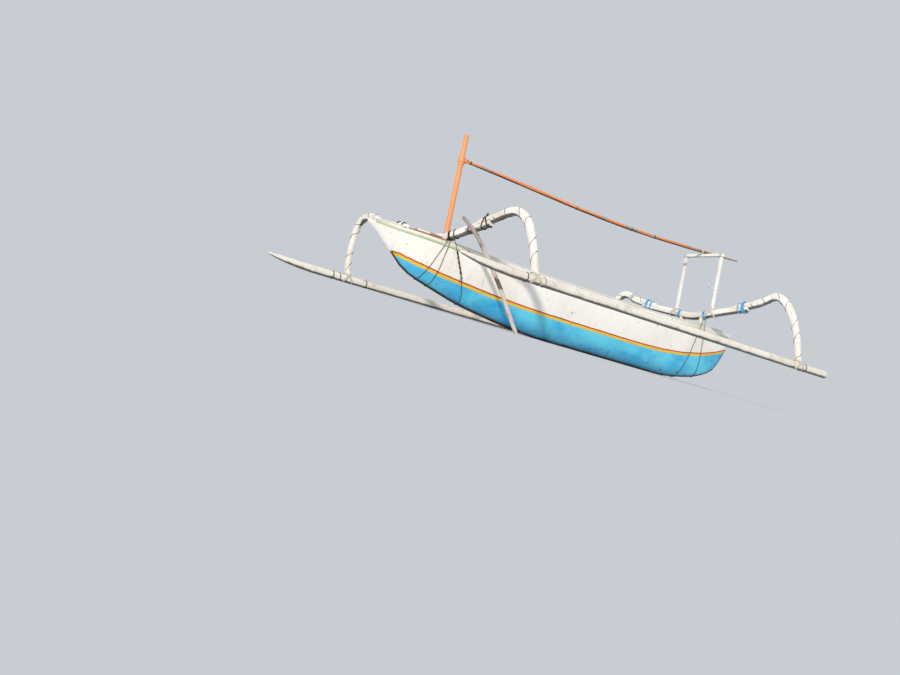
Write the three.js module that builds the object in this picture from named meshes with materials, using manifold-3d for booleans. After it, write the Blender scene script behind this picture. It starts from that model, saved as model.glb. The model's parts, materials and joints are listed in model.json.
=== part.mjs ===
// Double-outrigger fishing canoe: a dugout hull with planked-up sides, two curved
// cross booms that carry a long float on each side, a short mast, and a bamboo spar
// stowed level between the mast and a gallows frame over the stern.
//
// Frame, in millimetres: X runs to the bow, Y to port and Z up. The origin lies on
// the centreline, on the underside of the keel shoe. Everything is drawn with the canoe
// upright. The finished group is then leaned to starboard about X, because ashore the
// canoe lies over on its starboard float, with a prop pole under its port boom.

import * as THREE from 'three';
import { mergeVertices } from 'three/addons/utils/BufferGeometryUtils.js';
import Module from 'manifold-3d';

const wasm = await Module();
wasm.setup();

// Clearances
const touchGap = 0.3;
const runningGap = 5;

// Hull lines, from the stern to the bow. Each row is a station along X with the
// height of the hull's bottom, of the seam between dugout and wash strake, and of the
// wash strake's top edge, the half breadth at that edge, and half of the flat bottom.
const hullLines = [
  { x: -3215, bottom: 856, seam: 866, rail: 866, beam: 7, flat: 5 },
  { x: -3120, bottom: 560, seam: 800, rail: 855, beam: 42, flat: 9 },
  { x: -2900, bottom: 250, seam: 765, rail: 841, beam: 110, flat: 14 },
  { x: -2400, bottom: 77, seam: 728, rail: 816, beam: 205, flat: 30 },
  { x: -1900, bottom: 14.4, seam: 690, rail: 784, beam: 258, flat: 45 },
  { x: -1050, bottom: 14.4, seam: 670, rail: 756, beam: 303, flat: 45 },
  { x: 300, bottom: 14.4, seam: 666, rail: 751, beam: 315, flat: 45 },
  { x: 700, bottom: 32, seam: 674, rail: 753, beam: 314, flat: 43 },
  { x: 1360, bottom: 99, seam: 693, rail: 768, beam: 298, flat: 36 },
  { x: 1680, bottom: 143, seam: 713, rail: 776, beam: 282, flat: 30 },
  { x: 2100, bottom: 234, seam: 745, rail: 792, beam: 240, flat: 22 },
  { x: 2407, bottom: 309, seam: 763, rail: 809, beam: 176, flat: 16 },
  { x: 2560, bottom: 369, seam: 771, rail: 818, beam: 137, flat: 13 },
  { x: 2716, bottom: 482, seam: 781, rail: 825, beam: 92, flat: 10 },
  { x: 2909, bottom: 630, seam: 795, rail: 829, beam: 47, flat: 7 },
  { x: 3060, bottom: 738, seam: 806, rail: 823, beam: 22, flat: 5 },
  { x: 3184, bottom: 801, seam: 812, rail: 812, beam: 7, flat: 4 },
];
const sternX = hullLines[0].x;
const bowX = hullLines.at(-1).x;
const hullStations = 46;

// Planking
const wallThickness = 24;
const floorThickness = 36;
const strakeThickness = 22;
const shoeThickness = 14;
const capHeight = 14;
const capWidth = 36;
const rubStrake = { below: 14, above: 12, proud: 14 };

// Stations where the long pieces of the hull begin and end
const runs = {
  washStrake: [-3150, 3090],
  rubStrake: [-3130, 3070],
  gunwaleCap: [-3170, 3110],
  keelShoe: [-3190, 3160],
  bowDeck: [2570, 2985],
  sternDeck: [-3080, -2580],
  hatchBoard: [2184, 2556],
};
const deck = { thick: 18, sunk: 4 };
const hatch = { thick: 20, overhang: 10 };

// The hollow of the dugout, and the ribs left standing in it
const hollow = { aft: -2560, fore: 2540 };
const rib = { xs: [-1750, -650, 650, 1550], half: 28, proud: 22 };

// Boards across the hull: centre, width along X, height of the top face, thickness
const thwarts = [
  { name: 'aft_thwart', x: -1200, width: 210, top: 632, thick: 28 },
  { name: 'middle_thwart', x: 0, width: 210, top: 628, thick: 28 },
  { name: 'fore_thwart', x: 1100, width: 210, top: 640, thick: 28 },
];

// Mast
const mastX = 2046;
const mastRadius = 34;
const mastTop = 2185;
const mastTopRadius = 30;
const mastTaperFrom = 1100;
const mastPartner = { from: 1941, to: 2151, top: 720, thick: 32 };
const mastStep = { from: 1966, to: 2126, height: 70, socket: 34 };

// Cross booms: station along X, section, and the line of the timber in Y and Z.
// The straight beam crosses the hull, and a knee is half-lapped on each of its ends.
const lap = { inner: 765, outer: 1010 };
const frontBoom = {
  x: 2132,
  width: 88,
  height: 104,
  // y, z of the centre of the beam, port half
  beam: [[0, 847], [120, 849], [207, 864], [1005, 1017]],
  lapHeights: [985, 1034],
};
const rearBoom = {
  x: -2380,
  width: 90,
  height: 98,
  beam: [[0, 940], [110, 946], [220, 962], [1005, 1082]],
  lapHeights: [1053, 1099],
};
// y, z of the centre of each knee, from the lap joint out and down to the float
const kneeLines = {
  front_knee_port: [
    [766, 1000], [914, 1030], [1091, 1070], [1226, 1105], [1345, 1124], [1450, 1120],
    [1584, 1062], [1695, 959], [1774, 831], [1872, 645], [1980, 362],
  ],
  front_knee_starboard: [
    [766, 1000], [914, 1026], [1100, 1034], [1309, 1050], [1450, 1100], [1607, 1167],
    [1758, 1182], [1885, 1160], [1972, 1078], [2025, 950], [2047, 757], [2034, 548],
    [1980, 362],
  ],
  rear_knee_port: [
    [766, 1064], [851, 1083], [1022, 1113], [1238, 1172], [1395, 1235], [1500, 1228],
    [1665, 1107], [1818, 873], [1908, 648], [1980, 362],
  ],
  rear_knee_starboard: [
    [766, 1064], [851, 1083], [1022, 1113], [1238, 1172], [1395, 1235], [1500, 1228],
    [1665, 1107], [1818, 873], [1908, 648], [1980, 362],
  ],
};
const kneeSection = { width: 84, height: 100, footWidth: 72, footHeight: 78 };

// Floats
const floatY = 1980;
const floatZ = 333;
const floatTail = -2940;
const floatNose = { port: 3160, starboard: 3340 };
// Distance back from the nose tip, radius, and rise of the centre above floatZ
const floatRows = [
  { back: 0, radius: 11, rise: 44 },
  { back: 30, radius: 19, rise: 41 },
  { back: 110, radius: 28, rise: 33 },
  { back: 260, radius: 40, rise: 19 },
  { back: 450, radius: 48, rise: 8 },
  { back: 700, radius: 52, rise: 1 },
  { back: 1000, radius: 52, rise: 0 },
];
const floatTailRadius = 49;

// Spar: it hangs from a pin in the collar, sags in the middle, and rests over the
// gallows. Station along X, height of the centre, and radius.
const sparPin = { x: mastX - 76, z: 1866, radius: 6 };
const sparRows = [
  { x: sparPin.x + 16, z: 1866, radius: 17 },
  { x: sparPin.x - 130, z: 1865, radius: 20 },
  { x: 1400, z: 1855, radius: 23 },
  { x: 700, z: 1836, radius: 24 },
  { x: 0, z: 1815, radius: 24 },
  { x: -700, z: 1809, radius: 23 },
  { x: -1300, z: 1822, radius: 22 },
  { x: -1950, z: 1852, radius: 21 },
  { x: -2380, z: 1877, radius: 20 },
  { x: -2640, z: 1895, radius: 13 },
  { x: -3066, z: 1926, radius: 10 },
];
const tongueHalf = 13;
const collar = { inner: 34, outer: 45, height: 62 };
const cheek = { from: 16, thick: 10, height: 46, aft: 22 };
const collarStop = { height: 22, proud: 9 };

// Gallows over the stern
const gallows = { x: rearBoom.x, y: 338, post: 44, barWidth: 54, barHeight: 42, overhang: 26 };
const hook = { z: 1330, reach: 150, rise: 44, radius: 9 };

// Chocks that raise the rear beam off the gunwales
const chock = { y: 190, along: 82, across: 46 };

// Prop pole: a bent branch that leans under the front beam. x, z of its centre.
const propY = 760;
const propLine = [
  { x: 2379, z: 1019, radius: 22 },
  { x: 2186, z: 905, radius: 25 },
  { x: 2034, z: 768, radius: 26 },
  { x: 1688, z: 403, radius: 26 },
  { x: 1373, z: 0, radius: 25 },
  { x: 1225, z: -190, radius: 25 },
];

// How the canoe lies ashore: on the starboard edge of its keel shoe and on the float
const shoeHalf = 45;
const floatRadius = 52;
const lean = Math.atan2(floatZ, floatY - shoeHalf)
  - Math.asin(floatRadius / Math.hypot(floatY - shoeHalf, floatZ));
const floorZ = -shoeHalf * Math.sin(lean);

// Paints and woods
const paint = (colour, roughness) =>
  new THREE.MeshStandardMaterial({ color: colour, roughness, metalness: 0 });
const whitePaint = paint(0xf0eeea, 0.55);
const bluePaint = paint(0x3caad7, 0.55);
const greenPaint = paint(0xcdd7b9, 0.6);
const creamPaint = paint(0xebe6dc, 0.5);
const orangePaint = paint(0xf59650, 0.6);
const bareWood = paint(0xbe8252, 0.75);
const darkWood = paint(0x4a3a2e, 0.8);
const greyWood = paint(0xb9a79d, 0.85);

// Curves

// A smooth curve through rows of a table that never overshoots them: column against x.
function curveThrough(rows, column) {
  const xs = rows.map((row) => row.x);
  const ys = rows.map((row) => row[column]);
  const slopes = xs.slice(1).map((x, i) => (ys[i + 1] - ys[i]) / (x - xs[i]));
  const tangents = xs.map((_, i) => {
    if (i === 0) return slopes[0];
    if (i === xs.length - 1) return slopes.at(-1);
    const before = slopes[i - 1];
    const after = slopes[i];
    return before * after <= 0 ? 0 : (2 * before * after) / (before + after);
  });
  return (x) => {
    const clamped = Math.min(Math.max(x, xs[0]), xs.at(-1));
    const i = Math.min(xs.findLastIndex((start) => start <= clamped), xs.length - 2);
    const width = xs[i + 1] - xs[i];
    const t = (clamped - xs[i]) / width;
    const a = 2 * t ** 3 - 3 * t ** 2 + 1;
    const b = t ** 3 - 2 * t ** 2 + t;
    const c = t ** 3 - t ** 2;
    return a * ys[i] + b * width * tangents[i] + (1 - a) * ys[i + 1] + c * width * tangents[i + 1];
  };
}

const bottomAt = curveThrough(hullLines, 'bottom');
const seamAt = curveThrough(hullLines, 'seam');
const railAt = curveThrough(hullLines, 'rail');
const beamAt = curveThrough(hullLines, 'beam');
const flatAt = curveThrough(hullLines, 'flat');

// Half breadth of the hull at a station and a height: round bilges, nearly upright sides
const bilgePower = 2.4;
const bilgeRoundness = 0.6;
function halfBreadth(x, z) {
  const bottom = bottomAt(x);
  const up = Math.min(Math.max((z - bottom) / Math.max(railAt(x) - bottom, 1), 0), 1);
  const swell = (1 - (1 - up) ** bilgePower) ** bilgeRoundness;
  return flatAt(x) + (beamAt(x) - flatAt(x)) * swell;
}

// Stations along X, closer together towards both ends
function stationsBetween(from, to, count) {
  return Array.from({ length: count + 1 }, (_, i) => {
    const angle = (Math.PI * i) / count;
    return (from + to) / 2 - ((to - from) / 2) * Math.cos(angle);
  });
}
const hullXs = stationsBetween(sternX, bowX, hullStations);
const hullXsWithin = (from, to) => [from, ...hullXs.filter((x) => x > from + 4 && x < to - 4), to];

// Solids

// A closed solid through rings of points: every ring has as many points as the first
function loft(rings) {
  const perRing = rings[0].length;
  const positions = rings.flat().flat();
  const indices = [];
  for (let r = 0; r < rings.length - 1; r += 1) {
    for (let p = 0; p < perRing; p += 1) {
      const a = r * perRing + p;
      const b = r * perRing + ((p + 1) % perRing);
      indices.push(a, b, b + perRing, a, b + perRing, a + perRing);
    }
  }
  const last = (rings.length - 1) * perRing;
  for (let p = 1; p < perRing - 1; p += 1) {
    indices.push(0, p + 1, p, last, last + p, last + p + 1);
  }
  const geometry = new THREE.BufferGeometry();
  geometry.setAttribute('position', new THREE.Float32BufferAttribute(positions, 3));
  geometry.setIndex(indices);
  return facingOut(geometry);
}

// Turns a closed mesh the right way round
function facingOut(geometry) {
  const at = geometry.attributes.position;
  const index = geometry.index.array;
  const corner = [new THREE.Vector3(), new THREE.Vector3(), new THREE.Vector3()];
  let volume = 0;
  for (let i = 0; i < index.length; i += 3) {
    corner.forEach((point, k) => point.fromBufferAttribute(at, index[i + k]));
    volume += corner[0].dot(corner[1].cross(corner[2]));
  }
  if (volume < 0) {
    for (let i = 0; i < index.length; i += 3) {
      [index[i + 1], index[i + 2]] = [index[i + 2], index[i + 1]];
    }
  }
  return geometry;
}

function solidOf(geometry) {
  const bare = geometry.clone();
  bare.deleteAttribute('normal');
  bare.deleteAttribute('uv');
  const merged = mergeVertices(bare, 1e-3);
  return new wasm.Manifold(new wasm.Mesh({
    numProp: 3,
    vertProperties: new Float32Array(merged.attributes.position.array),
    triVerts: new Uint32Array(merged.index.array),
  }));
}

function geometryOf(solid) {
  const mesh = solid.getMesh();
  const geometry = new THREE.BufferGeometry();
  geometry.setAttribute('position', new THREE.Float32BufferAttribute(mesh.vertProperties, 3));
  geometry.setIndex(Array.from(mesh.triVerts));
  return geometry;
}

function box(from, to) {
  const size = to.map((value, axis) => value - from[axis]);
  const geometry = new THREE.BoxGeometry(...size);
  geometry.translate(...from.map((value, axis) => value + size[axis] / 2));
  return geometry;
}

// A turned solid about an upright axis: rows of radius and height, closed on the axis
function turned(profile, x, y, sides) {
  const points = profile.map(([radius, height]) => new THREE.Vector2(radius, height));
  const geometry = new THREE.LatheGeometry(points, sides);
  geometry.rotateX(Math.PI / 2);
  geometry.translate(x, y, 0);
  geometry.deleteAttribute('normal');
  geometry.deleteAttribute('uv');
  return facingOut(mergeVertices(geometry, 1e-3));
}

// An upright round plug on the mast's axis
function plug(radius, low, high) {
  return solidOf(turned([[0, low], [radius, low], [radius, high], [0, high]], mastX, 0, 24));
}

function roundBar(radius, length, sides) {
  return new THREE.CylinderGeometry(radius, radius, length, sides);
}

// A flat shape in Y and Z, given thickness along X about a station
function plateAcross(points, x, thick) {
  const outline = new THREE.Shape(points.map(([y, z]) => new THREE.Vector2(y, z)));
  const geometry = new THREE.ExtrudeGeometry(outline, { depth: thick, bevelEnabled: false });
  geometry.translate(0, 0, -thick / 2);
  geometry.applyMatrix4(new THREE.Matrix4().set(0, 0, 1, x, 1, 0, 0, 0, 0, 1, 0, 0, 0, 0, 0, 1));
  return geometry;
}

// Corners of a timber's section with its edges taken off, in units of half its size
const edgeOff = 0.52;
const timberSection = [
  [1, edgeOff], [edgeOff, 1], [-edgeOff, 1], [-1, edgeOff],
  [-1, -edgeOff], [-edgeOff, -1], [edgeOff, -1], [1, -edgeOff],
];

// A timber along a line in Y and Z at station x, its width along X and its height
// square to the line; both may change from the line's start to its end
function timber(line, x, steps, sizeAt) {
  const curve = new THREE.CatmullRomCurve3(
    line.map(([y, z]) => new THREE.Vector3(x, y, z)), false, 'centripetal',
  );
  const rings = Array.from({ length: steps + 1 }, (_, i) => {
    const t = i / steps;
    const centre = curve.getPointAt(t);
    const along = curve.getTangentAt(t);
    const up = new THREE.Vector3(0, -along.z, along.y);
    const { width, height } = sizeAt(t);
    return timberSection.map(([across, rise]) => [
      centre.x + (across * width) / 2,
      centre.y + (up.y * rise * height) / 2,
      centre.z + (up.z * rise * height) / 2,
    ]);
  });
  return loft(rings);
}

// A round pole along X: rows of x, z and radius, flattened to sideHalf at its start
function pole(rows, y, steps, sides, sideHalf) {
  const ordered = [...rows].sort((a, b) => a.x - b.x);
  const heightAt = curveThrough(ordered, 'z');
  const radiusAt = curveThrough(ordered, 'radius');
  const startX = rows[0].x;
  const endX = rows.at(-1).x;
  const flatRun = 150;
  const rings = Array.from({ length: steps + 1 }, (_, i) => {
    const x = startX + ((endX - startX) * i) / steps;
    const slope = (heightAt(x + 1) - heightAt(x - 1)) / 2;
    const tilt = Math.atan(slope);
    const radius = radiusAt(x);
    const flatness = sideHalf ? Math.min(Math.abs(x - startX) / flatRun, 1) : 1;
    const side = sideHalf ? sideHalf + (radius - sideHalf) * flatness : radius;
    return Array.from({ length: sides }, (_unused, k) => {
      const angle = (2 * Math.PI * (k + 0.5)) / sides;
      const up = Math.sin(angle) * radius;
      return [
        x - Math.sin(tilt) * up,
        y + Math.cos(angle) * side,
        heightAt(x) + Math.cos(tilt) * up,
      ];
    });
  });
  return loft(rings);
}

// Hull: the dugout

const bilgeSteps = [0, 0.025, 0.07, 0.14, 0.24, 0.37, 0.54, 0.76, 1];

// One ring of the hull's outside, port edge down to the bottom and up to starboard
function outerRing(x) {
  const bottom = bottomAt(x);
  const side = bilgeSteps.map((step) => {
    const z = bottom + (seamAt(x) - bottom) * step;
    return [x, halfBreadth(x, z), z];
  });
  return [...side.toReversed(), ...side.map(([, y, z]) => [x, -y, z])];
}

function ribProudAt(x) {
  return rib.xs.some((centre) => Math.abs(x - centre) <= rib.half) ? rib.proud : 0;
}

// One ring of the hollow, drawn in by a gap so that what fits inside it keeps clear
function hollowRing(x, gap, above) {
  const floor = bottomAt(x) + floorThickness + gap + ribProudAt(x) / 2;
  const inset = wallThickness + ribProudAt(x) + gap;
  const side = bilgeSteps.map((step) => {
    const z = floor + (seamAt(x) - floor) * step;
    return [x, Math.max(halfBreadth(x, z) - inset, 4), z];
  });
  const [, topY] = side.at(-1);
  side.push([x, topY, seamAt(x) + above]);
  return [...side.toReversed(), ...side.map(([, y, z]) => [x, -y, z])];
}

const ribEdge = 3;
const hollowXs = [
  ...hullXsWithin(hollow.aft, hollow.fore),
  ...rib.xs.flatMap((x) => [
    x - rib.half - ribEdge, x - rib.half, x + rib.half, x + rib.half + ribEdge,
  ]),
].sort((a, b) => a - b);

const hullOutside = solidOf(loft(hullXs.map(outerRing)));
const hollowSpace = (gap, above) => solidOf(loft(hollowXs.map((x) => hollowRing(x, gap, above))));
const hullShell = hullOutside.subtract(hollowSpace(0, 30));

// A board, block or plate cut to the shape of the hollow that it stands in
const insideHull = hollowSpace(touchGap + 0.2, 0);
const cutToHull = (geometry) => solidOf(geometry).intersect(insideHull);

// Hull: planks along the sides, for side = 1 to port and -1 to starboard

function sideLoft(xs, section, side) {
  return loft(xs.map((x) => section(x).map(([y, z]) => [x, side * y, z])));
}

function washStrake(side) {
  const xs = hullXsWithin(...runs.washStrake);
  return sideLoft(xs, (x) => {
    const low = seamAt(x) + touchGap;
    const high = railAt(x);
    const inset = (y) => Math.max(y - strakeThickness, touchGap);
    const lowY = halfBreadth(x, low);
    const highY = halfBreadth(x, high);
    return [[lowY, low], [highY, high], [inset(highY), high], [inset(lowY), low]];
  }, side);
}

function rubbingStrake(side) {
  const xs = hullXsWithin(...runs.rubStrake);
  const standOff = 2 * touchGap;
  const edge = 4;
  return sideLoft(xs, (x) => {
    const low = seamAt(x) - rubStrake.below;
    const high = Math.min(seamAt(x) + rubStrake.above, railAt(x) - touchGap);
    const lowY = halfBreadth(x, low) + standOff;
    const highY = halfBreadth(x, high) + standOff;
    const outY = Math.max(lowY, highY) + rubStrake.proud;
    return [
      [lowY, low], [outY - edge, low], [outY, low + edge],
      [outY, high - edge], [outY - edge, high], [highY, high],
    ];
  }, side);
}

function gunwaleCap(side) {
  const xs = hullXsWithin(...runs.gunwaleCap);
  const overhang = 8;
  const edge = 4;
  return sideLoft(xs, (x) => {
    const out = halfBreadth(x, railAt(x)) + overhang;
    const inner = Math.max(out - capWidth, touchGap);
    const low = railAt(x) + touchGap;
    const high = railAt(x) + capHeight;
    return [[inner, low], [out, low], [out, high - edge], [out - edge, high], [inner, high]];
  }, side);
}

// Deck board between the wash strakes, its top just under their edges
function deckBoard(from, to) {
  const { thick, sunk } = deck;
  const gapToStrake = strakeThickness + touchGap + 0.9;
  return loft(hullXsWithin(from, to).map((x) => {
    const y = Math.max(halfBreadth(x, railAt(x) - sunk - thick) - gapToStrake, 1);
    const high = railAt(x) - sunk;
    return [[x, y, high - thick], [x, y, high], [x, -y, high], [x, -y, high - thick]];
  }));
}

// Loose board over the fore end, lying across both gunwale caps
function hatchBoard(from, to) {
  const { thick, overhang } = hatch;
  return loft(hullXsWithin(from, to).map((x) => {
    const y = halfBreadth(x, railAt(x)) + overhang;
    const low = railAt(x) + capHeight + touchGap;
    return [[x, y, low], [x, y, low + thick], [x, -y, low + thick], [x, -y, low]];
  }));
}

// Keel shoe: a strip nailed under the flat bottom and up both ends, square to the profile
function keelShoe() {
  const near = touchGap + 0.1;
  const far = near + shoeThickness;
  return loft(hullXsWithin(...runs.keelShoe).map((x) => {
    const slope = (bottomAt(x + 2) - bottomAt(x - 2)) / 4;
    const length = Math.hypot(slope, 1);
    const point = (side, depth) => [
      x + (slope / length) * depth,
      side * flatAt(x),
      bottomAt(x) - depth / length,
    ];
    return [point(1, near), point(-1, near), point(-1, far), point(1, far)];
  }));
}

// Mast, its step and its partner

const stepFloor = bottomAt(mastX) + floorThickness;
const stepTop = stepFloor + mastStep.height;
const heel = stepTop - mastStep.socket;

function mastStepBlock() {
  const block = cutToHull(box([mastStep.from, -200, 0], [mastStep.to, 200, stepTop]));
  return block.subtract(plug(mastRadius + runningGap, heel - touchGap, stepTop + 20));
}

function mastPartnerBoard() {
  const { from, to, top, thick } = mastPartner;
  const board = cutToHull(box([from, -400, top - thick], [to, 400, top]));
  return board.subtract(plug(mastRadius + runningGap, top - thick - 20, top + 20));
}

const collarLow = sparPin.z - collar.height / 2;
const mastUpperRadius = collar.inner - 3;

function mastPole() {
  const stopTop = collarLow - touchGap;
  const stopLow = stopTop - collarStop.height;
  const stopRadius = mastUpperRadius + collarStop.proud;
  const edge = 6;
  return turned([
    [0, heel], [mastRadius - edge, heel], [mastRadius, heel + edge], [mastRadius, mastTaperFrom],
    [mastUpperRadius, stopLow - collarStop.height], [stopRadius, stopLow],
    [stopRadius, stopTop], [mastUpperRadius, stopTop],
    [mastUpperRadius, sparPin.z + collar.height], [mastTopRadius, mastTop - edge],
    [mastTopRadius - edge, mastTop], [0, mastTop],
  ], mastX, 0, 20);
}

function sparCollar() {
  const top = collarLow + collar.height;
  const low = sparPin.z - cheek.height / 2;
  const high = sparPin.z + cheek.height / 2;
  const cheekBox = (near) => solidOf(box(
    [sparPin.x - cheek.aft, near, low], [mastX, near + cheek.thick, high],
  ));
  const pinHole = roundBar(sparPin.radius, 200, 16);
  pinHole.translate(sparPin.x, 0, sparPin.z);
  return plug(collar.outer, collarLow, top)
    .add(cheekBox(cheek.from))
    .add(cheekBox(-cheek.from - cheek.thick))
    .subtract(plug(collar.inner, collarLow - 20, top + 20))
    .subtract(solidOf(pinHole));
}

function sparPinBar() {
  const proud = 7;
  const pin = roundBar(sparPin.radius - 0.5, 2 * (cheek.from + cheek.thick + proud), 16);
  pin.translate(sparPin.x, 0, sparPin.z);
  return pin;
}

function sparPole() {
  const eye = roundBar(sparPin.radius + 1, 200, 16);
  eye.translate(sparPin.x, 0, sparPin.z);
  return solidOf(pole(sparRows, 0, 44, 12, tongueHalf)).subtract(solidOf(eye));
}

// The line and thickness of a float from its nose to its tail
function floatCurves(side) {
  const nose = side > 0 ? floatNose.port : floatNose.starboard;
  const rows = [
    ...floatRows.map((row) => ({ x: nose - row.back, z: floatZ + row.rise, radius: row.radius })),
    { x: floatTail, z: floatZ, radius: floatTailRadius },
  ];
  const ordered = rows.toReversed();
  return {
    rows,
    heightAt: curveThrough(ordered, 'z'),
    radiusAt: curveThrough(ordered, 'radius'),
  };
}

// Cross booms

const mirrored = (line) => line.map(([y, z]) => [-y, z]);
const kneeGap = 0.25;

// What is cut away at a half lap: above the slope on the beam, below it on the knee
function lapCutters(boom, side) {
  const { inner, outer } = lap;
  const [innerZ, outerZ] = boom.lapHeights;
  const rise = (outerZ - innerZ) / (outer - inner);
  const slopeAt = (y) => innerZ + rise * (y - inner);
  const deep = 300;
  const wide = 400;
  const plate = (points) => solidOf(plateAcross(
    points.map(([y, z]) => [side * y, z]), boom.x, boom.width * 2,
  ));
  const endY = outer - kneeGap;
  const startY = inner + kneeGap;
  return {
    fromBeam: plate([
      [inner, slopeAt(inner) - kneeGap], [endY, slopeAt(endY) - kneeGap],
      [endY, innerZ - deep], [outer + wide, innerZ - deep],
      [outer + wide, outerZ + deep], [inner, outerZ + deep],
    ]),
    fromKnee: plate([
      [startY, slopeAt(startY) + kneeGap], [outer, slopeAt(outer) + kneeGap],
      [outer, innerZ - deep], [inner - wide, innerZ - deep],
      [inner - wide, outerZ + deep], [startY, outerZ + deep],
    ]),
  };
}

function boomBeam(boom) {
  const [, ...starboardHalf] = mirrored(boom.beam);
  const line = [...starboardHalf.toReversed(), ...boom.beam];
  const beam = timber(line, boom.x, 24, () => ({ width: boom.width, height: boom.height }));
  return solidOf(beam)
    .subtract(lapCutters(boom, 1).fromBeam)
    .subtract(lapCutters(boom, -1).fromBeam);
}

function boomKnee(boom, line, side) {
  const taperFrom = 0.55;
  const sizeAt = (t) => {
    const down = Math.max(t - taperFrom, 0) / (1 - taperFrom);
    return {
      width: kneeSection.width + (kneeSection.footWidth - kneeSection.width) * down,
      height: kneeSection.height + (kneeSection.footHeight - kneeSection.height) * down,
    };
  };
  const knee = timber(side > 0 ? line : mirrored(line), boom.x, 34, sizeAt);
  const bedRadius = floatCurves(side).radiusAt(boom.x + boom.width / 2);
  const bed = roundBar(bedRadius + touchGap + 0.1, 400, 60);
  bed.rotateZ(Math.PI / 2);
  bed.translate(boom.x, side * floatY, floatZ);
  const cut = solidOf(knee).subtract(solidOf(bed)).subtract(lapCutters(boom, side).fromKnee);
  const foot = box([boom.x - 200, -3000, floatZ - 200], [boom.x + 200, 3000, floatZ + 8]);
  return cut.subtract(solidOf(foot));
}

// Floats

function outriggerFloat(side) {
  const { rows, heightAt, radiusAt } = floatCurves(side);
  const bodyEnd = rows.at(-2).x;
  const bodySteps = 9;
  const body = Array.from(
    { length: bodySteps }, (_, i) => floatTail + ((bodyEnd - floatTail) * i) / bodySteps,
  );
  const xs = [...body, ...rows.slice(0, -1).map((row) => row.x).toReversed()];
  const sides = 20;
  return loft(xs.map((x) => Array.from({ length: sides }, (_, k) => {
    const angle = (2 * Math.PI * (k + 0.5)) / sides;
    return [
      x,
      side * floatY + Math.cos(angle) * radiusAt(x),
      heightAt(x) + Math.sin(angle) * radiusAt(x),
    ];
  })));
}

// Gallows

const sparOverGallows = {
  z: curveThrough(sparRows.toReversed(), 'z')(gallows.x),
  radius: curveThrough(sparRows.toReversed(), 'radius')(gallows.x),
};
const barTop = sparOverGallows.z - sparOverGallows.radius - runningGap - 1;
const barLow = barTop - gallows.barHeight;

function gallowsPost(side) {
  const half = gallows.post / 2;
  const edge = 8;
  const corners = [
    [half, half - edge], [half - edge, half], [edge - half, half], [-half, half - edge],
    [-half, edge - half], [edge - half, -half], [half - edge, -half], [half, edge - half],
  ];
  const ring = (z) => corners.map(([x, y]) => [gallows.x + x, side * gallows.y + y, z]);
  const post = solidOf(loft([ring(rearBoom.beam[0][1]), ring(barLow - touchGap)]));
  return post.subtract(boomBeam(rearBoom).translate([0, 0, touchGap]));
}

function gallowsBar() {
  const end = gallows.y + gallows.overhang;
  const half = gallows.barWidth / 2;
  const edge = 8;
  const corners = [
    [half, barTop - edge], [half - edge, barTop], [edge - half, barTop], [-half, barTop - edge],
    [-half, barLow], [half, barLow],
  ];
  return loft([-end, end].map((y) => corners.map(([x, z]) => [gallows.x + x, y, z])));
}

// A peg that points forward from the port post, its tip turned up
function gallowsHook() {
  const startX = gallows.x + gallows.post / 2 + touchGap;
  const path = new THREE.CatmullRomCurve3([
    new THREE.Vector3(startX, gallows.y, hook.z),
    new THREE.Vector3(startX + hook.reach * 0.45, gallows.y, hook.z + 6),
    new THREE.Vector3(startX + hook.reach * 0.88, gallows.y, hook.z + 14),
    new THREE.Vector3(startX + hook.reach, gallows.y, hook.z + hook.rise),
  ]);
  const rings = Array.from({ length: 9 }, (_, i) => {
    const centre = path.getPointAt(i / 8);
    const along = i === 0 ? new THREE.Vector3(1, 0, 0) : path.getTangentAt(i / 8);
    const up = new THREE.Vector3(-along.z, 0, along.x);
    return Array.from({ length: 8 }, (_unused, k) => {
      const angle = (2 * Math.PI * k) / 8;
      const rise = Math.sin(angle) * hook.radius;
      return [
        centre.x + up.x * rise,
        centre.y + Math.cos(angle) * hook.radius,
        centre.z + up.z * rise,
      ];
    });
  });
  return loft(rings);
}

// Chocks between the gunwale caps and the rear beam

function rearChock(side) {
  const aft = rearBoom.x - chock.along / 2;
  const fore = rearBoom.x + chock.along / 2;
  const low = Math.max(railAt(aft), railAt(fore)) + capHeight + touchGap;
  const block = solidOf(box(
    [aft, side * chock.y - chock.across / 2, low],
    [fore, side * chock.y + chock.across / 2, rearBoom.beam[1][1]],
  ));
  return block.subtract(boomBeam(rearBoom).translate([0, 0, -touchGap]));
}

// Prop pole

// The branch, its foot cut off level with the ground that the leaning canoe lies on
function propPole() {
  const branch = solidOf(pole(propLine, propY, 28, 10, 0));
  const ground = box([900, 400, floorZ - 400], [1800, 1200, floorZ]);
  ground.rotateX(-lean);
  return branch.subtract(solidOf(ground));
}

// Assembly

const canoe = new THREE.Group();
canoe.rotation.x = lean;

function add(name, shape, material) {
  const geometry = shape.isBufferGeometry ? shape : geometryOf(shape);
  const mesh = new THREE.Mesh(geometry, material);
  mesh.name = name;
  canoe.add(mesh);
}

const sides = [['port', 1], ['starboard', -1]];

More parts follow.
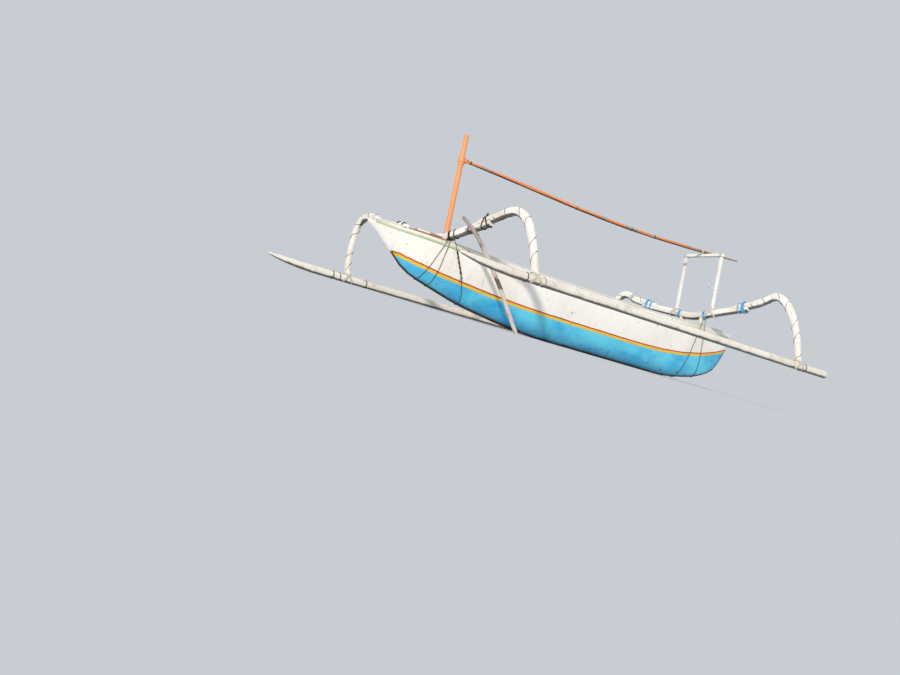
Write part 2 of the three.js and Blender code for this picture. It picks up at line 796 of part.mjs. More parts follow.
add('hull_shell', hullShell, bluePaint);
add('keel_shoe', keelShoe(), darkWood);
add('bow_deck', deckBoard(...runs.bowDeck), whitePaint);
add('stern_deck', deckBoard(...runs.sternDeck), whitePaint);
add('hatch_board', hatchBoard(...runs.hatchBoard), bareWood);
for (const [word, side] of sides) {
  add(`wash_strake_${word}`, washStrake(side), whitePaint);
  add(`rub_strake_${word}`, rubbingStrake(side), greenPaint);
  add(`gunwale_cap_${word}`, gunwaleCap(side), bareWood);
  add(`rear_chock_${word}`, rearChock(side), whitePaint);
  add(`float_${word}`, outriggerFloat(side), creamPaint);
  add(`front_knee_${word}`, boomKnee(frontBoom, kneeLines[`front_knee_${word}`], side), whitePaint);
  add(`rear_knee_${word}`, boomKnee(rearBoom, kneeLines[`rear_knee_${word}`], side), whitePaint);
  add(`gallows_post_${word}`, gallowsPost(side), whitePaint);
}
for (const { name, x, width, top, thick } of thwarts) {
  add(name, cutToHull(box([x - width / 2, -400, top - thick], [x + width / 2, 400, top])), bareWood);
}
add('front_beam', boomBeam(frontBoom), whitePaint);
add('rear_beam', boomBeam(rearBoom), whitePaint);
add('mast_step', mastStepBlock(), bareWood);
add('mast_partner', mastPartnerBoard(), bareWood);
add('mast', mastPole(), orangePaint);
add('spar_collar', sparCollar(), orangePaint);
add('spar_pin', sparPinBar(), darkWood);
add('spar', sparPole(), orangePaint);
add('gallows_crossbar', gallowsBar(), whitePaint);
add('gallows_hook', gallowsHook(), whitePaint);
add('prop_pole', propPole(), greyWood);

export default canoe;
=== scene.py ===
# %% [markdown]
# # A double-outrigger fishing canoe, parked on a beach
#
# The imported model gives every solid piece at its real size. Here each gets the surface
# that it has in use: brushed oil paint, bare worn wood, sun-bleached bark. Then comes the
# rope that binds the boat together.

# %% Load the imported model
import json
from contextlib import contextmanager
from math import copysign, cos, exp, pi, radians, sin, tau

import bpy
from mathutils import Matrix, Vector
from mathutils.bvhtree import BVHTree
from mathutils.geometry import convex_hull_2d

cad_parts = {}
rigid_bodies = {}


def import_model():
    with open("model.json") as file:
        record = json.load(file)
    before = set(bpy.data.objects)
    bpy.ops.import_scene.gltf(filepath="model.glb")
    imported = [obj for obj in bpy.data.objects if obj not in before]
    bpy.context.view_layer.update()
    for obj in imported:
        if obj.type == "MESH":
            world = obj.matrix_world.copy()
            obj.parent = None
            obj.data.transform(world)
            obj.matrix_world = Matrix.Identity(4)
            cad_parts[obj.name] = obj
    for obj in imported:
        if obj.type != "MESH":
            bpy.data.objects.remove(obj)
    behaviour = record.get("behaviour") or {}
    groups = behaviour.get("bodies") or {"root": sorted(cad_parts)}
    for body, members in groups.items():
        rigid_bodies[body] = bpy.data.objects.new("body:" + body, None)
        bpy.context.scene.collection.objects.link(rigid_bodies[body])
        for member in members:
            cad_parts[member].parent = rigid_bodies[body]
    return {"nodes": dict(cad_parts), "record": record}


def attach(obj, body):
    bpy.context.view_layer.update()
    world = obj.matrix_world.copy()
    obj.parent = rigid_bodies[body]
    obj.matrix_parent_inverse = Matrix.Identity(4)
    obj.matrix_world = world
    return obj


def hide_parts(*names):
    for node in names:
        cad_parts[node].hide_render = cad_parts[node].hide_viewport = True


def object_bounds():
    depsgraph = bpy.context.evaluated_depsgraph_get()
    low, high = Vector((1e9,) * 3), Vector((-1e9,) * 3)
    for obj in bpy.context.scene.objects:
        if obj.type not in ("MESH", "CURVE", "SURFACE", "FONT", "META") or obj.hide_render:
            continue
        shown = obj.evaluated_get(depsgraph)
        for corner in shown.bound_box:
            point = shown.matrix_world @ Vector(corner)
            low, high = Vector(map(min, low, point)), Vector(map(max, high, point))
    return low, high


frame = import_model()
CAD_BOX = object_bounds()
BODY_OF = {
    node: body
    for body, nodes in frame["record"]["behaviour"]["bodies"].items()
    for node in nodes
}

# %% [markdown]
# ## The upright plan
#
# The canoe lies over on its starboard float, so a level plank is tilted in the scene, and
# tilted numbers are hard to picture. So points are given in the boat's own plan, upright
# and in millimetres: X to the bow, Y to port, Z up the mast.

# %% Points of the upright plan
MM = 1000
LEAN = 0.1439365
TURN_TO_LEAN = Matrix.Rotation(LEAN, 4, "X")
TURN_UPRIGHT = TURN_TO_LEAN.inverted()


def plan(x, y, z):
    """A point of the plan as a point of the scene"""
    return (TURN_TO_LEAN @ Vector((x, y, z))) / MM


def in_plan(spot):
    """A point of the scene as a point of the plan"""
    return (TURN_UPRIGHT @ spot) * MM


def plan_direction(x, y, z):
    return (TURN_TO_LEAN @ Vector((x, y, z))).normalized()


def height_along(line, x):
    """Height at x of a line that runs straight from one (x, z) to the next"""
    for (x0, z0), (x1, z1) in zip(line, line[1:]):
        if x <= x1:
            return z0 + (z1 - z0) * (x - x0) / (x1 - x0)
    return line[-1][1]


UP_MAST = plan_direction(0, 0, 1)
TO_PORT = plan_direction(0, 1, 0)
TO_BOW = Vector((1, 0, 0))
SIDES = {"port": 1, "starboard": -1}
BOOM_X = {"fore": 2132, "aft": -2380}
print("the masthead stands at", plan(2046, 0, 2185))

# %% [markdown]
# ## Camera
#
# A 50 mm lens, a few centimetres above the ground, looks along the port side from off the
# bow. Its roll gives the boat its steep lie. A Track To constraint would take the roll
# away, so place and turns are given.

# %% Camera
FLOOR_Z = CAD_BOX[0].z

bpy.ops.object.camera_add(
    location=(10.457, 12.594, 0.0535),
    rotation=[radians(turn) for turn in (88.689, -16.430, 145.399)],
)
camera = bpy.context.object
camera.data.lens = 50
camera.data.clip_end = 300
bpy.context.scene.camera = camera
print("the camera is", round(MM * (camera.location.z - FLOOR_Z)), "mm above the floor")

# %% [markdown]
# ## Floor and light
#
# A very large pale disc is the floor; a curved backdrop would hide the horizon from one
# side only. The share of light that it shines back is worked out, so that it looks as
# bright as the sky and no horizon shows. One warm key light stands behind the camera, a
# little wide, so that shadows have soft edges.

# %% Floor and light
TO_KEY = Vector((1.10, 0.92, 0.62)).normalized()
KEY_ENERGY = 2.5
KEY_COLOUR = (1.0, 0.955, 0.88)
SKY_LIGHT = (0.58, 0.61, 0.65)
FLOOR_SHARE = [s / (s + KEY_ENERGY * c * TO_KEY.z / pi) for s, c in zip(SKY_LIGHT, KEY_COLOUR)]

bpy.ops.mesh.primitive_circle_add(vertices=96, radius=90, fill_type="NGON")
floor = bpy.context.object
floor.name = "floor"
floor.location.z = FLOOR_Z

bpy.ops.object.light_add(type="SUN", rotation=TO_KEY.to_track_quat("Z", "Y").to_euler())
key = bpy.context.object
key.data.energy = KEY_ENERGY
key.data.angle = radians(2.5)
key.data.color = KEY_COLOUR

sky = bpy.data.worlds.new("pale_sky")
bpy.context.scene.world = sky
sky.use_nodes = True
sky.node_tree.nodes["Background"].inputs["Color"].default_value = (*SKY_LIGHT, 1)
bpy.context.scene.view_settings.view_transform = "Standard"
print("the floor shines back", [round(share, 3) for share in FLOOR_SHARE])


# %% [markdown]
# ## Shader maths as formulas
#
# A worn paint is a sum of masks: where it is stained, where it is chipped, where it ends.
# Node by node that is hard to read. So a small class wraps one socket, and each sign, such
# as +, adds the Math node it stands for.

# %% A socket that takes arithmetic
def python_sign(operation, swapped=False):
    """Makes a sign such as + add its Math node"""
    def act(self, other):
        return self.maths(operation, *((other, self) if swapped else (self, other)))
    return act


class Term:
    def __init__(self, finish, socket):
        self.finish, self.socket = finish, socket

    def maths(self, operation, first, second=0.0):
        return self.finish.node("Math", 0, {"operation": operation}, {0: first, 1: second})

    __add__, __radd__ = python_sign("ADD"), python_sign("ADD", True)
    __sub__, __rsub__ = python_sign("SUBTRACT"), python_sign("SUBTRACT", True)
    __mul__, __rmul__ = python_sign("MULTIPLY"), python_sign("MULTIPLY", True)
    __pow__, at_least = python_sign("POWER"), python_sign("MAXIMUM")

    def sine(self):
        return self.maths("SINE", self)

    def over(self, low, high):
        """0 below low, 1 above high, and a smooth step between them"""
        return self.finish.node(
            "MapRange", "Result", {"interpolation_type": "SMOOTHSTEP"},
            {"Value": self, "From Min": low, "From Max": high},
        )


# %% [markdown]
# ## A finish
#
# A finish is one material while it is being made. One method adds any node: first its
# settings, because they can change which sockets it has, then values or links. Coordinates
# are turned back by the lean, so a painted line can be given by its height on the upright
# hull. A mottle is cloudy noise. Colours go on as coats.

# %% The finish class
TURN_BACK = (-LEAN, 0, 0)
MIX_SHARE, MIX_UNDER, MIX_OVER, MIX_COLOUR = 0, 6, 7, 2  # sockets of a colour's Mix node


def rgb(code):
    """Linear colour from a six-figure screen colour"""
    parts = [int(code[i : i + 2], 16) / 255 for i in (0, 2, 4)]
    return (*[p / 12.92 if p <= 0.04045 else ((p + 0.055) / 1.055) ** 2.4 for p in parts], 1)


class Finish:
    def __init__(self, name):
        self.material = bpy.data.materials.new(name)
        self.material.use_nodes = True
        self.tree = self.material.node_tree
        self.place = self.turned(self.node("TexCoord", "Object"), TURN_BACK)
        self.x, self.y, self.z = (self.part(self.place, axis) for axis in "XYZ")

    def node(self, kind, output, settings=None, values=None):
        made = self.tree.nodes.new("ShaderNode" + kind)
        for name, value in (settings or {}).items():
            setattr(made, name, value)
        for name, value in (values or {}).items():
            self.feed(made.inputs[name], value)
        return Term(self, made.outputs[output])

    def feed(self, slot, value):
        """Gives a socket a link, a colour by its code, or a plain value"""
        if isinstance(value, Term):
            self.tree.links.new(value.socket, slot)
        else:
            slot.default_value = rgb(value) if isinstance(value, str) else value

    def turned(self, vector, turn, kind="POINT"):
        return self.node(
            "Mapping", "Vector", {"vector_type": kind}, {"Vector": vector, "Rotation": turn}
        )

    def part(self, vector, axis):
        return self.node("SeparateXYZ", axis, values={"Vector": vector})

    def mottle(self, scale, stretch=(1, 1, 1), detail=4.0, roughness=0.55):
        """Cloudy noise from 0 to 1; stretch below 1 draws it out along that axis"""
        place = self.node("Mapping", "Vector", values={"Vector": self.place, "Scale": stretch})
        return self.node(
            "TexNoise", "Fac",
            values={"Vector": place, "Scale": scale, "Detail": detail, "Roughness": roughness},
        )

    def facing(self):
        """How far the surface faces up the mast, from -1 to 1"""
        normal = self.node("TexCoord", "Normal")
        return self.part(self.turned(normal, TURN_BACK, "NORMAL"), "Z")

    def mixed(self, under, over, share):
        """A colour with another laid over it where share is 1"""
        return self.node(
            "Mix", MIX_COLOUR, {"data_type": "RGBA"},
            {MIX_SHARE: share, MIX_UNDER: under, MIX_OVER: over},
        )

    def base(self, one, other, share):
        self.colour = self.mixed(one, other, share)

    def coat(self, over, share):
        """Lays one more colour over the finish where share is 1"""
        self.colour = self.mixed(self.colour, over, share)

    def done(self, roughness, relief=None, depth=0.001, strength=1.0, gloss=0.4):
        """Feeds the shader; relief is a height whose full step is depth metres"""
        slots = self.tree.nodes["Principled BSDF"].inputs
        self.feed(slots["Base Color"], self.colour)
        self.feed(slots["Roughness"], roughness)
        self.feed(slots["Specular IOR Level"], gloss)
        if relief is not None:
            height = {"Height": relief, "Distance": depth, "Strength": strength}
            self.feed(slots["Normal"], self.node("Bump", "Normal", values=height))
        print("finish", self.material.name, "with", len(self.tree.nodes), "nodes")
        return self.material


# %% [markdown]
# ## Floor finish
#
# Even the floor isn't one flat value: a very faint mottle keeps it from looking like a
# hole in the picture. It is matt, so it mirrors nothing.

# %% Floor finish
pale = Finish("pale_floor")
duller, brighter = ((*[tone * share for share in FLOOR_SHARE], 1) for tone in (0.99, 1.01))
pale.base(duller, brighter, pale.mottle(0.7, detail=2.0))
floor.data.materials.append(pale.done(1.0, gloss=0.0))

# %% [markdown]
# ## The painted line
#
# The topsides are white, the bottom sky blue, and a yellow stripe with a thin red line
# over it parts them. A strip of faces would have hard, straight edges, so its height is a
# formula: it climbs towards both ends, and wanders a little, as a brush does.

# %% Height of the paint line
LINE_LOW = 0.262
# for each end: where the climb begins, its length, its height, and how late it steepens
FORE_FROM, FORE_RUN, FORE_RISE, FORE_BEND = -0.2, 2.916, 0.21, 2.8
AFT_FROM, AFT_RUN, AFT_RISE, AFT_BEND = -0.9, 2.1, 0.27, 2.6
HAND_WANDER, BOW_WANDER = 0.012, 0.050


def paint_line(finish):
    fore = ((finish.x - FORE_FROM).at_least(0) * (1 / FORE_RUN)) ** FORE_BEND
    aft = ((AFT_FROM - finish.x).at_least(0) * (1 / AFT_RUN)) ** AFT_BEND
    wander = finish.mottle(5.0, (1, 0.1, 0.1), 5.0, 0.6) - 0.5
    unsteady = HAND_WANDER + BOW_WANDER * finish.x.over(2.2, 2.65)
    return LINE_LOW + FORE_RISE * fore + AFT_RISE * aft + wander * unsteady


# %% [markdown]
# ## Hull paint
#
# Each colour is first worked out on its own: white stained by splashes and rusty runs,
# blue faded in streaks and darker low down, as painted shade near the keel. Then they are
# laid over one another as the brush did it, each from its own height up.

# %% Hull paint
YELLOW_WIDE, RED_WIDE = 0.032, 0.016
BRUSH_EDGE = 0.001

outer = Finish("hull_paint")
cloud = outer.mottle(1.6, detail=3.0)
brush = outer.mottle(9.0, (0.3, 1, 3.2), 5.0, 0.65)
white = outer.mixed("f7f3ec", "eee7dc", cloud.over(0.4, 0.75))
runs = outer.mottle(11.0, (1.3, 1, 0.10), 6.0, 0.7)
white = outer.mixed(white, "b5a28c", runs.over(0.56, 0.74) * 0.42)
splashes = outer.mottle(5.0, (0.7, 1, 1), 8.0, 0.72)
white = outer.mixed(white, "94806a", splashes.over(0.60, 0.72) * 0.42)
yellow = outer.mixed("efc23b", "d9a02a", brush.over(0.45, 0.75))
red = outer.mixed("c8402a", "7e3a2c", splashes.over(0.46, 0.66))

deep = outer.mottle(2.6, (0.7, 1, 1.4), 5.0)
outer.base("66d4ee", "35aadf", deep.over(0.38, 0.75))
faded = outer.mottle(7.0, (0.25, 1, 1.6), 6.0, 0.7)
outer.coat("93d3e8", faded.over(0.56, 0.78) * 0.65)
low = 1 - outer.z.over(0.02, 0.19)
# painted shade: the blue is darkened towards the keel, where the bottom lies in shade
outer.coat("2d7fa6", low * 0.45)

above_line = outer.z - paint_line(outer)
above_yellow = above_line - (YELLOW_WIDE + 0.010 * (cloud - 0.5))
outer.coat(yellow, above_line.over(-BRUSH_EDGE, BRUSH_EDGE))
outer.coat(red, above_yellow.over(-BRUSH_EDGE, BRUSH_EDGE))
outer.coat(white, above_yellow.over(RED_WIDE - BRUSH_EDGE, RED_WIDE + BRUSH_EDGE))

# %% [markdown]
# ## Wear on the hull
#
# Paint flakes off in small islands, more of them where it is rubbed: the sum of a fine and
# a broad noise, cut off high, gives that. Wet sand scratches the bottom along its length.
# The same masks feed the relief, because what has flaked lies lower.

# %% Wear on the hull
flakes = outer.mottle(26.0, (0.6, 1, 1), 9.0, 0.62)
rubbed = outer.mottle(2.2, (0.5, 1, 1), 4.0)
worn = (flakes + 0.16 * rubbed + 0.05 * low).over(0.738, 0.756)
outer.coat("77604c", worn * 0.85)
scratch = outer.mottle(30.0, (0.05, 1, 1.2), 3.0, 0.5).over(0.66, 0.72)
outer.coat("b9d7df", scratch * low * 0.8)
dents = outer.mottle(3.0, (0.6, 1, 1))
hull_relief = 0.5 * brush + 0.5 * deep - 0.5 * worn + 0.4 * dents
hull_paint = outer.done(0.42 + 0.18 * cloud + 0.25 * worn, hull_relief, 0.004, 0.7)

# %% [markdown]
# ## Keel strip
#
# The strip under the keel grinds on stones. Low down it is black with wet and tar. Up the
# stem it keeps the white of the hull, from a height that follows the hull's own line.

# %% Keel strip finish
PAINTED_FROM = 0.03  # above the hull's line

keel = Finish("keel_paint")
ground = keel.mottle(30.0, (0.06, 1, 1), 6.0, 0.62)
keel.base("2f2a28", "57493f", ground.over(0.4, 0.7))
chalky = keel.mixed("efebe5", "cfc5b8", keel.mottle(12.0, detail=6.0).over(0.45, 0.75))
painted = keel.z - paint_line(keel) - PAINTED_FROM + 0.05 * (ground - 0.5)
keel.coat(chalky, painted.over(-0.004, 0.004))
keel_paint = keel.done(0.75, ground, 0.003, 0.8, gloss=0.25)

# %% [markdown]
# ## Paint inside the hull
#
# The inside is brushed out with what was left of blue and white. Feet and bilge water take
# it off the floor and ribs, where the dark log shows. Bump is enough for the adze's marks.

# %% Paint inside the hull
hold = Finish("hold_paint")
thin = hold.mottle(3.2, (0.5, 1, 1), 6.0, 0.6)
adze = hold.mottle(16.0, (0.5, 1, 1), 2.0, 0.4)
hold.base("a9c3c6", "8fb0b8", thin.over(0.35, 0.7))
bilge = 1 - hold.z.over(0.05, 0.45)
hold.coat("86705a", (thin + 0.30 * bilge).over(0.58, 0.70) * 0.8)
hold.coat("6b6052", bilge * 0.4)
hold_paint = hold.done(0.55 + 0.2 * thin, 0.7 * adze + 0.3 * thin, 0.005, 0.8)


# %% [markdown]
# ## White timber paint
#
# Booms, knees, posts and planks are painted the same thick, chalky white. Rain leaves it
# clean on top; the underside is darkened, partly by mould and partly as painted shade, and
# the surface's own normal says which side that is. Fine cracks follow the timber, and
# chips go down to the wood.

# %% White timber paint
def white_paint(name, stretch, under=0.85, chips=0.715):
    """stretch is the way the timber runs; under, how dark mould and painted shade make the
    underside
    """
    finish = Finish(name)
    broad = finish.mottle(2.4, detail=3.0)
    finish.base("f5f1ea", "e2d9cc", broad.over(0.38, 0.68))
    drips = finish.mottle(14.0, (1, 1, 0.25), 6.0, 0.7)
    finish.coat("a79480", drips.over(0.54, 0.72) * 0.5)
    mould_and_shade = finish.mottle(6.0, detail=6.0, roughness=0.65)
    # painted shade with mould: the underside, told by the surface's normal, is darkened
    below = (0.5 * (mould_and_shade - 0.5) - finish.facing()).over(0.46, 0.65)
    finish.coat("2c241c", below * under)
    cracks = finish.mottle(34.0, stretch, 5.0, 0.6).over(0.66, 0.70)
    finish.coat("6f6152", cracks * 0.45)
    bare = (finish.mottle(20.0, stretch, 9.0, 0.6) + 0.10 * broad).over(chips, chips + 0.02)
    finish.coat("8a6a4e", bare * 0.9)
    strokes = finish.mottle(22.0, stretch, 4.0, 0.6)
    relief = 0.5 * strokes + 0.5 * broad - 0.6 * cracks - 0.5 * bare
    return finish.done(0.50 + 0.25 * broad, relief, 0.003, 0.7)


boom_paint = white_paint("boom_paint", (1, 0.45, 0.45))
post_paint = white_paint("post_paint", (1, 1, 0.12), under=0.4)
plank_paint = white_paint("plank_paint", (0.12, 1, 1), under=0.4, chips=0.71)

# %% [markdown]
# ## Float paint
#
# The floats are long poles in a cream paint. They sit in the water, so soft grey spots of
# growth mark them, and long scuffs run along where they are dragged up the sand.

# %% Float paint
floats = Finish("float_paint")
floats.base("efe9df", "e0d7c8", floats.mottle(1.8, (0.4, 1, 1), 3.0).over(0.35, 0.7))
spots = floats.mottle(12.0, (0.8, 1, 1), 2.0, 0.45)
floats.coat("aaa398", spots.over(0.55, 0.74) * 0.42)
specks = floats.mottle(48.0, detail=2.0, roughness=0.4)
floats.coat("8b857b", specks.over(0.66, 0.74) * 0.40)
scuffs = floats.mottle(24.0, (0.05, 1, 1), 5.0, 0.6)
floats.coat("9c8a75", scuffs.over(0.62, 0.74) * 0.35)
# painted shade: the float's underside, told by the normal, is darkened as if in shadow
float_underside_shade = (0.4 * (spots - 0.5) - floats.facing()).over(0.45, 0.74)
floats.coat("38332a", float_underside_shade * 0.85)
float_paint = floats.done(0.45 + 0.2 * spots, 0.6 * scuffs + 0.4 * spots, 0.002, 0.6)

# %% [markdown]
# ## Orange paint
#
# Mast and spar are orange. The spar is a bamboo: ropes have rubbed lengths of it down to
# grey cane, its aft end was never painted, and its underside is painted nearly black as
# shade. Noise added to where a length ends gives it a torn edge.

# %% Mast paint and spar paint
SPAR_WORN = [(1.56, 1.75), (-0.46, -0.31), (-1.04, -0.78), (-1.38, -1.27)]
SPAR_BARE_AFT_OF = -1.95


def cane_wear_and_underside_shade(finish, streaks, stretch):
    cane = finish.mixed("b8a994", "86755f", streaks.over(0.35, 0.65))
    torn = 0.36 * (finish.mottle(26.0, stretch, 7.0, 0.7) - 0.5)
    for low_x, high_x in SPAR_WORN:
        from_aft = (finish.x - low_x + torn).over(0, 0.02)
        from_fore = (high_x - finish.x + torn).over(0, 0.02)
        finish.coat(cane, from_aft * from_fore * 0.85)
    end = finish.mixed("b98a63", "8d5f40", streaks.over(0.35, 0.65))
    finish.coat(end, (SPAR_BARE_AFT_OF - finish.x + torn).over(0, 0.03))
    # painted shade: the spar's underside, told by the normal, is darkened nearly to black
    below = (1.1 * (streaks - 0.5) - finish.facing()).over(0.30, 0.55)
    finish.coat("3e2418", below * 0.88)


def orange_paint(name, stretch, wear_and_shade=None):
    finish = Finish(name)
    broad = finish.mottle(3.0, stretch, 4.0)
    finish.base("f39a60", "e07a3c", broad.over(0.38, 0.64))
    streaks = finish.mottle(30.0, stretch, 6.0, 0.65)
    finish.coat("fbb888", streaks.over(0.52, 0.75) * 0.6)
    dull = finish.mottle(15.0, (0.5, 0.5, 0.25), 8.0, 0.7).over(0.54, 0.68)
    finish.coat("9a4f26", dull * 0.65)
    bare = (finish.mottle(24.0, (1, 1, 0.5), 9.0, 0.62) + 0.06 * broad).over(0.69, 0.71)
    finish.coat("8c6a4b", bare * 0.9)
    if wear_and_shade is not None:
        wear_and_shade(finish, streaks, stretch)
    relief = 0.6 * streaks - 0.4 * dull - 0.6 * bare + 0.5 * broad
    return finish.done(0.5 + 0.2 * dull, relief, 0.003, 0.7)


mast_paint = orange_paint("mast_paint", (1, 1, 0.08))
spar_paint = orange_paint("spar_paint", (0.08, 1, 1), cane_wear_and_underside_shade)

# %% [markdown]
# ## Bare and weathered wood
#
# Wood grain is noise drawn out along the board, with a slower wave for the growth rings; a
# picture of wood would repeat on boards this long. Between boards, rail, mast step and pin
# only colours, direction and what is left of old paint differ.

# %% Wood recipe
RINGS = 620.0  # radians of the ring wave in a metre
PAINT_LEFT = 0.04


def paint_left_on_rail(finish):
    """Less paint is left where the rail is stepped on and sat on"""
    return 0.22 - 0.30 * finish.x.over(2.05, 2.25) * (1 - finish.x.over(2.55, 2.75))


def wood(name, light, dark, stretch, grey=None, paint=None, trodden=False):
    finish = Finish(name)
    across = (finish.x if stretch[1] < 1 else finish.y) + 0.3 * finish.z
    warp = finish.mottle(2.0, stretch, 3.0)
    grain = finish.mottle(38.0, stretch, 6.0, 0.62)
    rings = ((across + 0.06 * warp) * RINGS).sine() * 0.5 + 0.5
    finish.base(light, dark, (0.75 * grain + 0.25 * rings).over(0.3, 0.75))
    if grey is not None:
        finish.coat(grey, finish.mottle(4.0, stretch, 6.0, 0.6).over(0.42, 0.66) * 0.7)
    cracks = finish.mottle(60.0, stretch, 3.0, 0.5).over(0.68, 0.73)
    finish.coat("2e241c", cracks * 0.6)
    if paint is not None:
        left = finish.mottle(11.0, (0.5, 1, 1), 8.0, 0.66)
        left = left + (paint_left_on_rail(finish) if trodden else PAINT_LEFT)
        finish.coat(paint, left.over(0.50, 0.54) * 0.92)
    relief = 0.7 * grain + 0.12 * rings - 0.8 * cracks
    return finish.done(0.65 + 0.2 * grain, relief, 0.002, 0.7, gloss=0.25)


ALONG, ATHWART = (0.06, 1, 1), (1, 0.06, 1)
board_wood = wood("board_wood", "b98d63", "8a6142", ATHWART, grey="a1968a")
hatch_wood = wood("hatch_wood", "b57f52", "7d5334", ALONG, grey="9b8a7b", paint="e9e4da")
rail_wood = wood("rail_wood", "b98558", "84583a", ALONG, paint="efebe4", trodden=True)
step_wood = wood("step_wood", "9d7654", "6d4d36", ALONG, grey="877b70")
pin_wood = wood("pin_wood", "6b4a33", "3f2b1e", (1, 0.1, 1))

# %% [markdown]
# ## Rubbing strake
#
# The strake that keeps other boats off the planks is a faded pale green. Knocks have
# taken the green down to the white under it, and the hardest ones down to the wood.

# %% Rubbing strake paint
strake = Finish("green_paint")
fade = strake.mottle(3.0, (0.3, 1, 1), 5.0)
strake.base("cbd6b4", "b3c49c", fade.over(0.35, 0.7))
knocks = strake.mottle(18.0, (0.25, 1, 1), 8.0, 0.66)
strake.coat("e9e6dc", knocks.over(0.54, 0.62) * 0.75)
strake.coat("7a6450", knocks.over(0.70, 0.72) * 0.8)
green_paint = strake.done(0.55 + 0.2 * fade, knocks, 0.0015, 0.6)

# %% [markdown]
# ## Prop pole
#
# The prop is a branch bleached pink and grey, split along its fibres, with a dark ring of
# old bark. It leans, so its pattern is turned by that slope, and the fibres run along it.

# %% Prop pole bark
BRANCH_SLOPE = 0.808

branch = Finish("branch_wood")
branch.place = branch.turned(branch.place, (0, BRANCH_SLOPE, 0))
fibre = branch.mottle(34.0, (0.05, 1, 1), 7.0, 0.7)
splits = branch.mottle(60.0, (0.035, 1, 1), 3.0, 0.5).over(0.60, 0.68)
branch.base("e0cec2", "b7a397", fibre.over(0.35, 0.75))
branch.coat("dfb49d", branch.mottle(4.0, detail=5.0).over(0.5, 0.7) * 0.5)
knots = branch.mottle(14.0, detail=3.0, roughness=0.5)
branch.coat("6d5a4d", knots.over(0.60, 0.68) * 0.8)
branch.coat("5a4a40", splits * 0.7)
ring = branch.z.over(0.325, 0.345) * (1 - branch.z.over(0.435, 0.46))
branch.coat("4d4540", ring * 0.85)
# painted shade: the upper part of the prop is turned greyer, as the shaded part
branch.coat("938a82", branch.z.over(0.70, 0.80) * 0.6)
branch_relief = 0.7 * fibre - 0.5 * knots - 0.8 * splits
branch_wood = branch.done(0.8, branch_relief, 0.005, 1.0, gloss=0.2)

# %% [markdown]
# ## Dressing the pieces
#
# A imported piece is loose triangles. A copy of each, merged into one skin, takes its place.
# Sawn boards get their edges broken by a small bevel, and are welded where it leaves two
# points in one place. Poles and bent timbers were grown: those are remeshed, smoothed,
# and made slightly uneven.

# %% Helpers for dressing
WELD_GAP = 0.00002
FLAT_WITHIN = radians(0.3)
SMOOTH_WITHIN = radians(38)

piece_named = bpy.data.objects


def only(piece):
    """Selects this object alone"""
    bpy.ops.object.select_all(action="DESELECT")
    piece.select_set(True)
    bpy.context.view_layer.objects.active = piece


@contextmanager
def editing(piece):
    """Edit mode on this piece, with all of it selected"""
    only(piece)
    bpy.ops.object.mode_set(mode="EDIT")
    bpy.ops.mesh.select_all(action="SELECT")
    yield
    bpy.ops.object.mode_set(mode="OBJECT")


def copy_of(piece):
    """A copy with a mesh of its own"""
    only(piece)
    bpy.ops.object.duplicate()
    return bpy.context.object


def modify(piece, kind, **settings):
    """Adds a modifier and applies it"""
    only(piece)
    modifier = piece.modifiers.new(kind.lower(), kind)
    for name, value in settings.items():
        setattr(modifier, name, value)
    bpy.ops.object.modifier_apply(modifier=modifier.name)


def break_edges(piece, width, corner):
    """Bevels the edges that turn by more than corner radians"""
    modify(piece, "BEVEL", width=width, segments=2, limit_method="ANGLE", angle_limit=corner)


def merged_copy(node, name):
    """A copy of a solid piece with one skin and flat faces, free of the frame"""
    piece = copy_of(frame["nodes"][node])
    bpy.ops.object.parent_clear(type="CLEAR_KEEP_TRANSFORM")
    for key in [key for key in piece.keys() if key.startswith("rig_")]:
        del piece[key]
    piece.name = name
    piece.data.materials.clear()
    with editing(piece):
        bpy.ops.mesh.remove_doubles(threshold=WELD_GAP)
        bpy.ops.mesh.dissolve_limited(angle_limit=FLAT_WITHIN)
    return piece


def takes_place_of(piece, node, material):
    """Gives the piece its finish, and the body of the node that it stands for"""
    piece.data.materials.append(material)
    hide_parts(node)
    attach(piece, BODY_OF[node])
    print(piece.name, "for", node, "with", len(piece.data.polygons), "faces")


def sawn(node, name, material, edge, corner=0.6):
    piece = merged_copy(node, name)
    break_edges(piece, edge, corner)
    with editing(piece):
        bpy.ops.mesh.remove_doubles(threshold=WELD_GAP)
    bpy.ops.object.shade_smooth_by_angle(angle=SMOOTH_WITHIN)
    takes_place_of(piece, node, material)


grown = bpy.data.textures.new("grown_unevenness", "CLOUDS")
grown.noise_scale = 0.22


def carved(node, name, material, skin=0.008, passes=4, uneven=0.004):
    """skin is the size of its new faces; uneven is how far they move in or out"""
    piece = merged_copy(node, name)
    piece.data.remesh_voxel_size = skin
    bpy.ops.object.voxel_remesh()
    modify(piece, "SMOOTH", factor=0.5, iterations=passes)
    modify(piece, "DISPLACE", texture=grown, strength=uneven, mid_level=0.5)
    bpy.ops.object.shade_smooth()
    takes_place_of(piece, node, material)


# %% [markdown]
# ## The hull
#
# The dugout keeps its exact shape. It needs two finishes, and cut in two it would show a
# seam. So its faces are sorted: those that look at the centreline, along the boat or
# upwards are the inside of the log, and get the other paint.

# %% Hull
HOLD_ENDS = 2600
LOOKS_ALONG, LOOKS_UP, LOOKS_DOWN = 0.7, 0.12, -0.2

